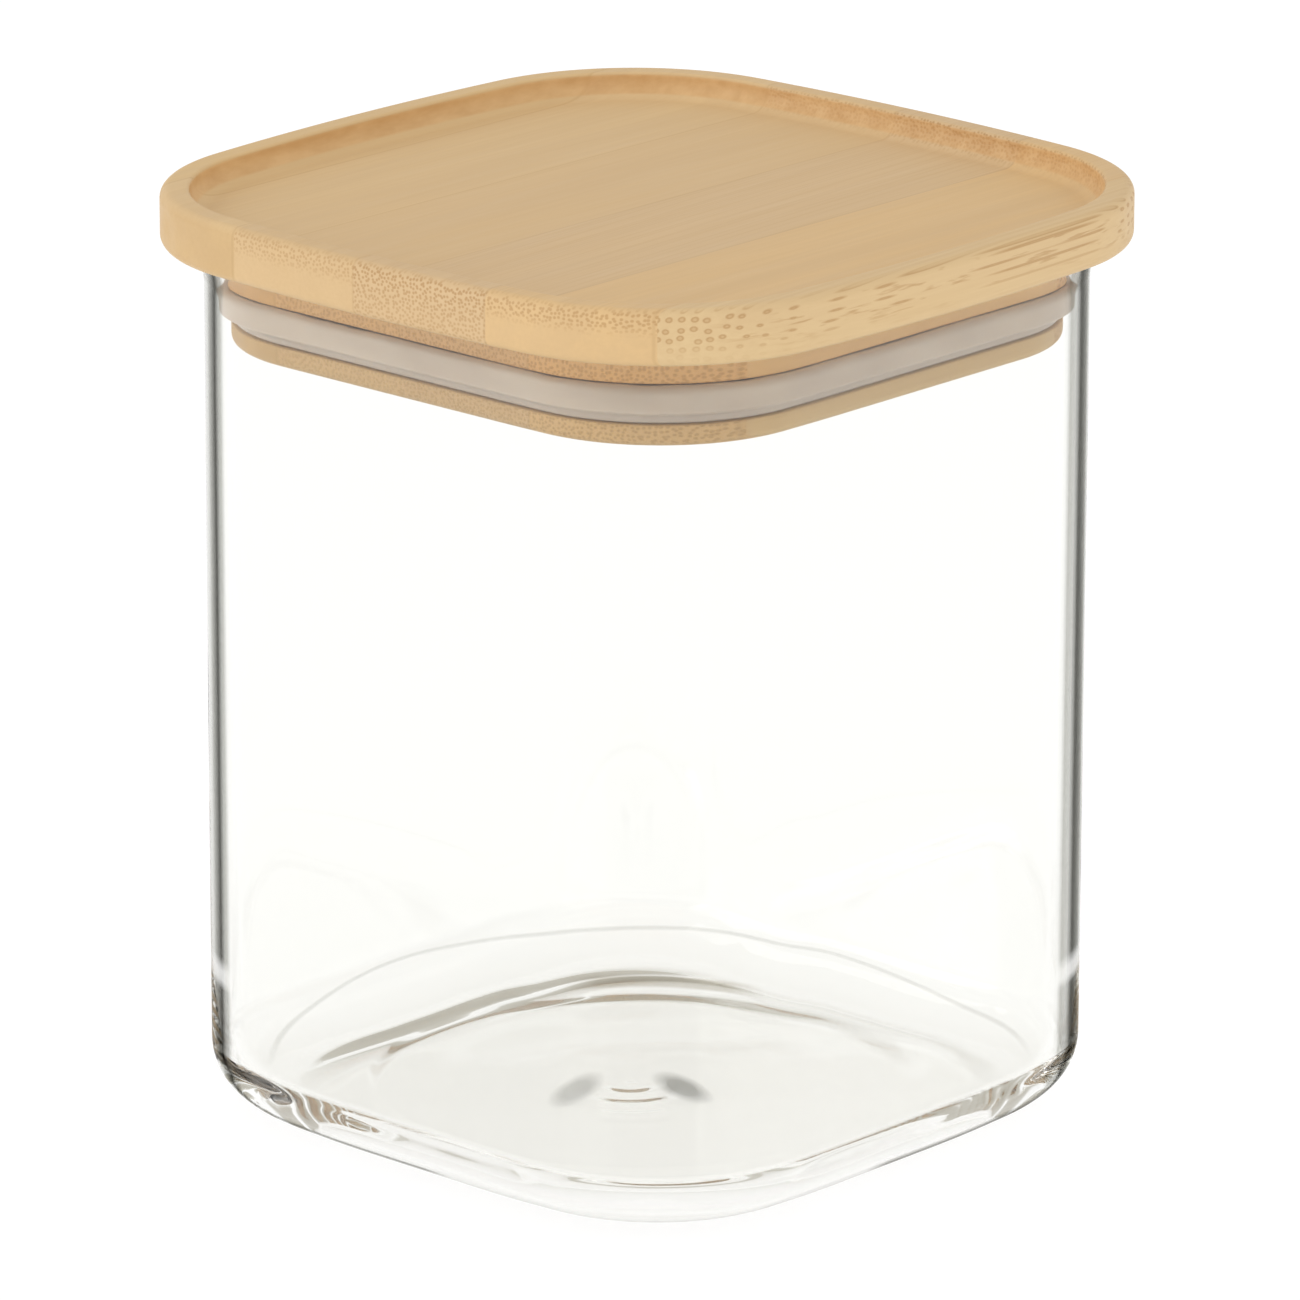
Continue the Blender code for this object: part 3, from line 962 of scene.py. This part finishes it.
def pore_dots(tree, x, y, z, along, high, side, up):
    """Share of the dark ends of the fibre bundles on the faces across the grain.

    Most strips have small dots, by PORE_SHARES, and the last strip has large
    ones. On the faces along the grain the large dots turn into flecks.
    """
    pore_share = ramp(tree, along, PORE_SHARES, "CONSTANT")
    large_share = ramp(tree, along, LARGE_PORE_SHARES, "CONSTANT")
    small_fade = ramp(tree, high, ((0.30, 0.60), (0.95, 1.0)))
    top_fade = ramp(tree, high, ((0.0, 0.9), (0.02, 0.0), (0.52, 0.0), (0.74, 1.0)))
    top_share = ramp(tree, along, TOP_PORE_SHARES, "CONSTANT")
    small_fade = blend(tree, top_share, small_fade, top_fade)
    large_fade = ramp(tree, high, ((0.20, 0.15), (0.50, 1.0)))

    leaning = calc(tree, "ADD", x, calc(tree, "MULTIPLY", y, 0.05))
    small = fibre_cells(tree, leaning, z, 1850.0, 2000.0, 0.8)
    small_dot = ramp(tree, small, ((0.24, 1.0), (0.42, 0.0)))
    long_side = ramp(tree, calc(tree, "ABSOLUTE", side), ((0.80, 0.0), (0.97, 1.0)))
    large = fibre_cells(tree, leaning, z, 900.0, 870.0, 0.45)
    large = calc(tree, "ADD", large, calc(tree, "MULTIPLY", long_side, 0.15))
    large_dot = ramp(tree, large, ((0.10, 0.45), (0.22, 1.0), (0.34, 0.0)))
    flecks = noise(tree, place(tree, (260.0, 150.0, 1500.0), (5.3, 2.2, 0.4)), 2.0, 0.6)
    flecks = ramp(tree, flecks, ((0.56, 0.0), (0.66, 1.0)))
    flecks = calc(tree, "MULTIPLY", flecks, calc(tree, "MULTIPLY", long_side, 0.75))
    large_dot = calc(tree, "MAXIMUM", large_dot, flecks)

    small_dot = product(tree, small_dot, pore_share, small_fade)
    large_dot = product(tree, large_dot, large_share, large_fade)
    upright = ramp(tree, up, ((0.55, 1.0), (0.95, 0.16)))
    return calc(tree, "MULTIPLY", calc(tree, "MAXIMUM", small_dot, large_dot), upright)


def oiled_bamboo():
    """Oiled bamboo of glued strips, with fibre bundles that run along Y."""
    material, tree, shader, _ = start_material("oiled_bamboo")
    x, y, z = split(tree, add(tree, "ShaderNodeTexCoord").outputs["Object"])
    side, _, up = split(tree, add(tree, "ShaderNodeNewGeometry").outputs["Normal"])
    up = calc(tree, "ABSOLUTE", up)
    along = calc(tree, "SUBTRACT", x, STRIP_START)
    along = calc(tree, "DIVIDE", along, STRIP_COUNT * STRIP_WIDTH)
    height = calc(tree, "SUBTRACT", z, LID_UNDERSIDE)
    high = calc(tree, "DIVIDE", height, LID_THICKNESS)

    fine = noise(tree, place(tree, (1500.0, 40.0, 1500.0)), 3.0, 0.6)
    tone = strip_tone(tree, along, fine)
    # Painted shade: the upright sides of the first two strips, at the lid's left end, are
    # darkened against the light that falls there
    painted_side_shade = ramp(tree, along, ((0.0, 1.0), (2 / 6, 0.0)), "CONSTANT")
    painted_side_shade = calc(tree, "MULTIPLY", painted_side_shade, ramp(tree, up, ((0.30, 1.0), (0.80, 0.0))))
    tone = blend(tree, painted_side_shade, tone, (0.91, 0.88, 0.82, 1.0), "MULTIPLY")
    pores = pore_dots(tree, x, y, z, along, high, side, up)
    tone = blend(tree, calc(tree, "MULTIPLY", pores, 0.68), tone, (0.43, 0.225, 0.075, 1.0))

    glue = calc(tree, "FRACT", calc(tree, "MULTIPLY", along, float(STRIP_COUNT)))
    glue = calc(tree, "ABSOLUTE", calc(tree, "SUBTRACT", glue, 0.5))
    glue = ramp(tree, glue, ((0.489, 0.0), (0.497, 1.0)))
    tone = blend(tree, calc(tree, "MULTIPLY", glue, 0.28), tone, (0.50, 0.30, 0.13, 1.0))

    # Painted light: the plug's land above the seal is lifted against the shade of the glass
    # rim in front of it; below the seal the plug is darker and warmer
    shade = ramp(tree, calc(tree, "MULTIPLY", height, -100.0), PLUG_PAINTED_LIGHT)
    tone = blend(tree, 1.0, tone, shade, "MULTIPLY")
    # Partly painted shade, partly the oil's own colour: the routed wall of the recess, in the
    # rim's shade, is mixed towards a darker amber
    routed = add(tree, "ShaderNodeAttribute", attribute_name="routed").outputs["Fac"]
    amber_mottle = noise(tree, place(tree, (420.0, 160.0, 420.0)), 3.0, 0.6)
    amber = ramp(tree, amber_mottle, ((0.35, (0.60, 0.33, 0.125)), (0.65, (0.72, 0.445, 0.20))))
    tone = blend(tree, calc(tree, "MULTIPLY", routed, 0.62), tone, amber)
    tree.links.new(tone, shader.inputs["Base Color"])

    sheen = noise(tree, place(tree, (300.0, 30.0, 300.0)), 2.0)
    tree.links.new(ramp(tree, sheen, ((0.3, 0.46), (0.7, 0.62))), shader.inputs["Roughness"])
    shader.inputs["Specular IOR Level"].default_value = 0.35
    relief = calc(tree, "SUBTRACT", calc(tree, "MULTIPLY", fine, 0.35), pores)
    add_bump(tree, shader, relief, 0.00006, 0.6)
    return material


# Finish of the silicone


def milky_silicone():
    """Milky silicone rubber, a little cloudy, over the colour of the wood."""
    material, tree, shader, _ = start_material("milky_silicone")
    cloud = noise(tree, place(tree, (90.0, 90.0, 220.0)), 3.0)
    tone = ramp(tree, cloud, ((0.30, (0.548, 0.446, 0.354)), (0.70, (0.620, 0.518, 0.415))))
    _, _, z = split(tree, add(tree, "ShaderNodeTexCoord").outputs["Object"])
    high = calc(tree, "SUBTRACT", z, LID_UNDERSIDE + SEAL_BOTTOM)
    high = calc(tree, "DIVIDE", high, SEAL_TOP - SEAL_BOTTOM)
    low_share = ramp(tree, high, ((0.05, 0.7), (0.45, 0.0)))
    tone = blend(tree, low_share, tone, (0.535, 0.455, 0.385, 1.0))
    tree.links.new(tone, shader.inputs["Base Color"])
    shader.inputs["Roughness"].default_value = 0.38
    shader.inputs["Subsurface Weight"].default_value = 0.35
    shader.inputs["Subsurface Radius"].default_value = (1.0, 0.8, 0.6)
    shader.inputs["Subsurface Scale"].default_value = 0.0012
    skin = noise(tree, place(tree, (700.0, 700.0, 700.0)), 2.0)
    add_bump(tree, shader, skin, 0.00004, 0.4)
    return material


# Studio


def white_world():
    """White surroundings for sight and gloss, and soft light that is weaker overhead."""
    world = bpy.data.worlds.new("white_room")
    bpy.context.scene.world = world
    world.use_nodes = True
    tree = world.node_tree
    tree.nodes.clear()
    output = add(tree, "ShaderNodeOutputWorld")
    _, _, up = split(tree, add(tree, "ShaderNodeTexCoord").outputs["Generated"])
    soft = add(tree, "ShaderNodeBackground")
    tree.links.new(ramp(tree, up, ((0.0, 0.82), (1.0, 0.88))), soft.inputs["Color"])
    path = add(tree, "ShaderNodeLightPath")
    straight = path.outputs["Is Camera Ray"]
    white = add(tree, "ShaderNodeBackground")
    sight = blend(tree, straight, ramp(tree, up, UPPER_ROOM_TONES), (1.0, 1.0, 1.0, 1.0))
    tree.links.new(sight, white.inputs["Color"])
    seen = calc(tree, "MAXIMUM", straight, path.outputs["Is Glossy Ray"])
    seen = calc(tree, "MAXIMUM", seen, path.outputs["Is Transmission Ray"])
    room = mix_shaders(tree, seen, soft.outputs["Background"], white.outputs["Background"])
    tree.links.new(room, output.inputs["Surface"])


def pale_floor():
    """Pale floor: a glow that is nearly white, and a thin coat that keeps the shadow."""
    mesh = bpy.data.meshes.new("pale_floor")
    corners = [(-1, -1), (1, -1), (1, 1), (-1, 1)]
    points = [(FLOOR_REACH * x, FLOOR_REACH * y, -0.0002) for x, y in corners]
    mesh.from_pydata(points, [], [(0, 1, 2, 3)])
    floor = bpy.data.objects.new("pale_floor", mesh)
    bpy.context.scene.collection.objects.link(floor)
    material = bpy.data.materials.new("pale_floor")
    material.use_nodes = True
    tree = material.node_tree
    tree.nodes.clear()
    output = add(tree, "ShaderNodeOutputMaterial")
    glow = add(tree, "ShaderNodeEmission")
    glow.inputs["Color"].default_value = (1.0, 1.0, 1.0, 1.0)
    glow.inputs["Strength"].default_value = 0.82
    matt = add(tree, "ShaderNodeBsdfDiffuse")
    matt.inputs["Color"].default_value = (0.24, 0.24, 0.24, 1.0)
    both = add(tree, "ShaderNodeAddShader")
    tree.links.new(glow.outputs["Emission"], both.inputs[0])
    tree.links.new(matt.outputs["BSDF"], both.inputs[1])
    tree.links.new(both.outputs["Shader"], output.inputs["Surface"])
    mesh.materials.append(material)


def soft_lamp(name, spot, size, power):
    """Square area lamp at a spot, turned to the jar."""
    data = bpy.data.lights.new(name, "AREA")
    data.shape = "SQUARE"
    data.size = size
    data.energy = power
    lamp = bpy.data.objects.new(name, data)
    bpy.context.scene.collection.objects.link(lamp)
    turn = (Vector(LAMP_AIM) - Vector(spot)).to_track_quat("-Z", "Y")
    lamp.matrix_world = Matrix.Translation(spot) @ turn.to_matrix().to_4x4()


def photo_camera():
    """Camera from the azimuth, elevation, roll and distance that the outlines gave."""
    azimuth, elevation, roll = CAMERA_AZIMUTH, CAMERA_ELEVATION, CAMERA_ROLL
    back = Vector(
        (
            math.sin(azimuth) * math.cos(elevation),
            -math.cos(azimuth) * math.cos(elevation),
            math.sin(elevation),
        )
    )
    level = Vector((math.cos(azimuth), math.sin(azimuth), 0.0))
    upright = back.cross(level)
    right = math.cos(roll) * level + math.sin(roll) * upright
    up = -math.sin(roll) * level + math.cos(roll) * upright
    target = right * CAMERA_SIDE_SHIFT + Vector((0.0, 0.0, CAMERA_TARGET_HEIGHT))
    data = bpy.data.cameras.new("photo_camera")
    data.sensor_width = SENSOR_MM
    data.lens = CAMERA_LENS_MM
    data.clip_start = 0.05
    data.clip_end = 20.0
    camera = bpy.data.objects.new("photo_camera", data)
    bpy.context.scene.collection.objects.link(camera)
    turn = Matrix((right, up, back)).transposed()
    camera.matrix_world = Matrix.Translation(target + back * CAMERA_DISTANCE) @ turn.to_4x4()
    bpy.context.scene.camera = camera


bpy.context.scene.view_settings.view_transform = "Standard"
# Light is led a long way round inside the glass before it leaves it
bpy.context.scene.cycles.max_bounces = LIGHT_BOUNCES
bpy.context.scene.cycles.glossy_bounces = LIGHT_BOUNCES
bpy.context.scene.cycles.transmission_bounces = LIGHT_BOUNCES
photo_camera()
white_world()
pale_floor()
soft_lamp("left_lamp", (-0.50, -1.05, 0.60), 0.8, 3.7)
soft_lamp("right_lamp", (1.05, -0.10, 0.55), 0.8, 1.5)

jar = glass_jar()
jar.data.materials.append(blown_glass())
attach(jar, "jar")
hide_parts("glass_jar")

lid = bamboo_lid()
lid.data.materials.append(oiled_bamboo())
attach(lid, "lid")
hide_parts("bamboo_lid")

seal = silicone_seal()
seal.data.materials.append(milky_silicone())
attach(seal, "lid")
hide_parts("seal_ring")
